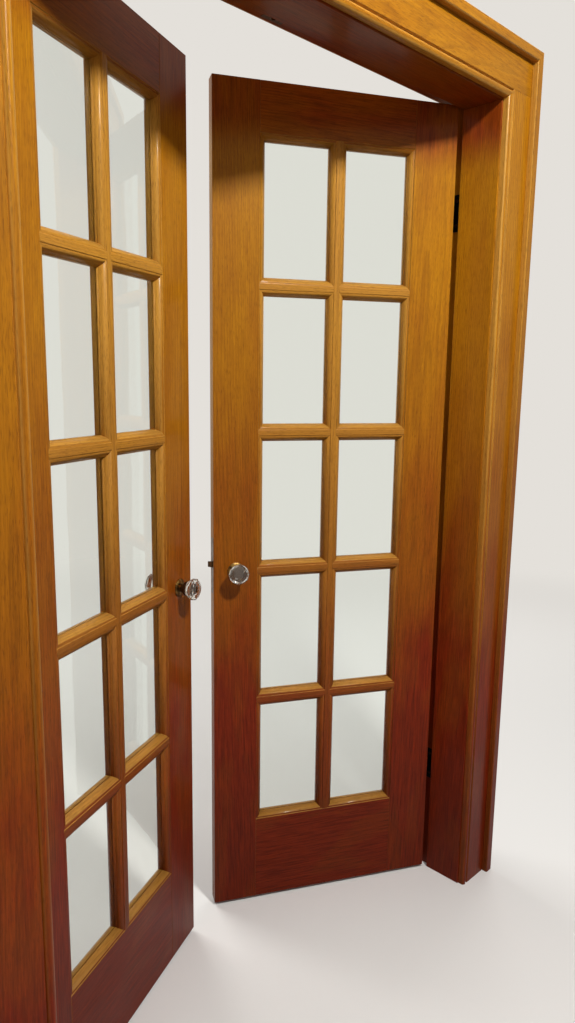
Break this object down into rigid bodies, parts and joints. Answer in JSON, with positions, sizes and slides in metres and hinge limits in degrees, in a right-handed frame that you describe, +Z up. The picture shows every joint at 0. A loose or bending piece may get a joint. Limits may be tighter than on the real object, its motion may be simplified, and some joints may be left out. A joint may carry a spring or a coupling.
{
  "type": "french doors",
  "caption": "Pair of glazed timber french doors with glass knobs, hung on butt hinges in a rebated frame with back-banded casings on both wall faces.",
  "frame": {"origin": "on the floor at the middle of the doorway, in the plane of the jambs' hall edges, which is the wall's hall face", "axes": "+X to the right seen from the hall, +Y through the doorway into the room, +Z up"},
  "size_m": [1.483, 0.486, 2.173],
  "materials": {
    "door_oak": "satin varnish",
    "bar_oak": "satin varnish",
    "jamb_oak": "satin varnish",
    "casing_oak": "satin varnish",
    "pane_glass": "clear",
    "knob_glass": "polished facets",
    "old_brass": "darkened",
    "black_steel": "satin black",
    "plain_steel": "dull"
  },
  "bodies": {
    "frame": {"hall_casing_left": "casing_oak", "hall_backband_left": "casing_oak", "hall_casing_right": "casing_oak", "hall_backband_right": "casing_oak", "hall_casing_head": "casing_oak", "hall_backband_head": "casing_oak", "room_casing_left": "casing_oak", "room_backband_left": "casing_oak", "room_casing_right": "casing_oak", "room_backband_right": "casing_oak", "room_casing_head": "casing_oak", "room_backband_head": "casing_oak", "left_jamb": "jamb_oak", "right_jamb": "jamb_oak", "head_jamb": "jamb_oak", "left_jamb_hinge_leaves": "black_steel", "right_jamb_hinge_leaves": "black_steel", "hinge_pins": "black_steel", "frame_screws": "black_steel", "head_strike": "old_brass"},
    "right_knobs": {"right_hall_knob": "knob_glass", "right_room_knob": "knob_glass", "right_knob_shanks": "old_brass", "right_knob_spindle": "plain_steel", "right_latch_hub": "plain_steel"},
    "right_latch_bolt": {"right_latch_bolt": "old_brass"},
    "upper_flush_bolt": {"upper_flush_bolt": "old_brass"},
    "lower_flush_bolt": {"lower_flush_bolt": "old_brass"},
    "right_leaf": {"right_hinge_stile": "door_oak", "right_lock_stile": "door_oak", "right_top_rail": "door_oak", "right_bottom_rail": "door_oak", "right_upright_bar": "bar_oak", "right_cross_bars": "bar_oak", "right_glazing_beads": "bar_oak", "right_panes": "pane_glass", "right_roses": "old_brass", "right_leaf_hinge_leaves": "black_steel", "right_leaf_screws": "black_steel", "right_latch_faceplate": "old_brass", "right_latch_case": "plain_steel"},
    "left_leaf": {"left_hinge_stile": "door_oak", "left_lock_stile": "door_oak", "left_top_rail": "door_oak", "left_bottom_rail": "door_oak", "left_upright_bar": "bar_oak", "left_cross_bars": "bar_oak", "left_glazing_beads": "bar_oak", "left_panes": "pane_glass", "left_hall_knob": "knob_glass", "left_room_knob": "knob_glass", "left_knob_shanks": "old_brass", "left_roses": "old_brass", "left_knob_spindle": "plain_steel", "left_leaf_hinge_leaves": "black_steel", "left_leaf_screws": "black_steel", "strike_plate": "old_brass", "flush_bolt_plates": "old_brass"}
  },
  "joints": [
    {"name": "right_leaf_swing", "type": "hinge", "parent": "frame", "child": "right_leaf", "pos_m": [0.61025, 0.148, 0], "axis": [0, 0, -1], "range_deg": [-28.25, 121.75]},
    {"name": "left_leaf_swing", "type": "hinge", "parent": "frame", "child": "left_leaf", "pos_m": [-0.61025, 0.148, 0], "axis": [0, 0, 1], "range_deg": [-25, 125]},
    {"name": "right_knob_turn", "type": "hinge", "parent": "right_leaf", "child": "right_knobs", "pos_m": [0.11127, 0.38716, 0.913], "axis": [0.4733, 0.8809, 0], "range_deg": [0, 60], "stiffness_Nm_per_rad": 0.3, "springref_deg": -17.19},
    {"name": "right_latch_slide", "type": "slide", "parent": "right_leaf", "child": "right_latch_bolt", "axis": [0.8809, -0.4733, 0], "range_m": [0, 0.01]},
    {"name": "upper_bolt_slide", "type": "slide", "parent": "left_leaf", "child": "upper_flush_bolt", "axis": [0, 0, 1], "range_m": [0, 0.016]},
    {"name": "lower_bolt_slide", "type": "slide", "parent": "left_leaf", "child": "lower_flush_bolt", "axis": [0, 0, -1], "range_m": [0, 0.016]}
  ],
  "couplings": [
    {"joint": "right_latch_slide", "follows": "right_knob_turn", "m_per_rad": 0.0095493}
  ]
}
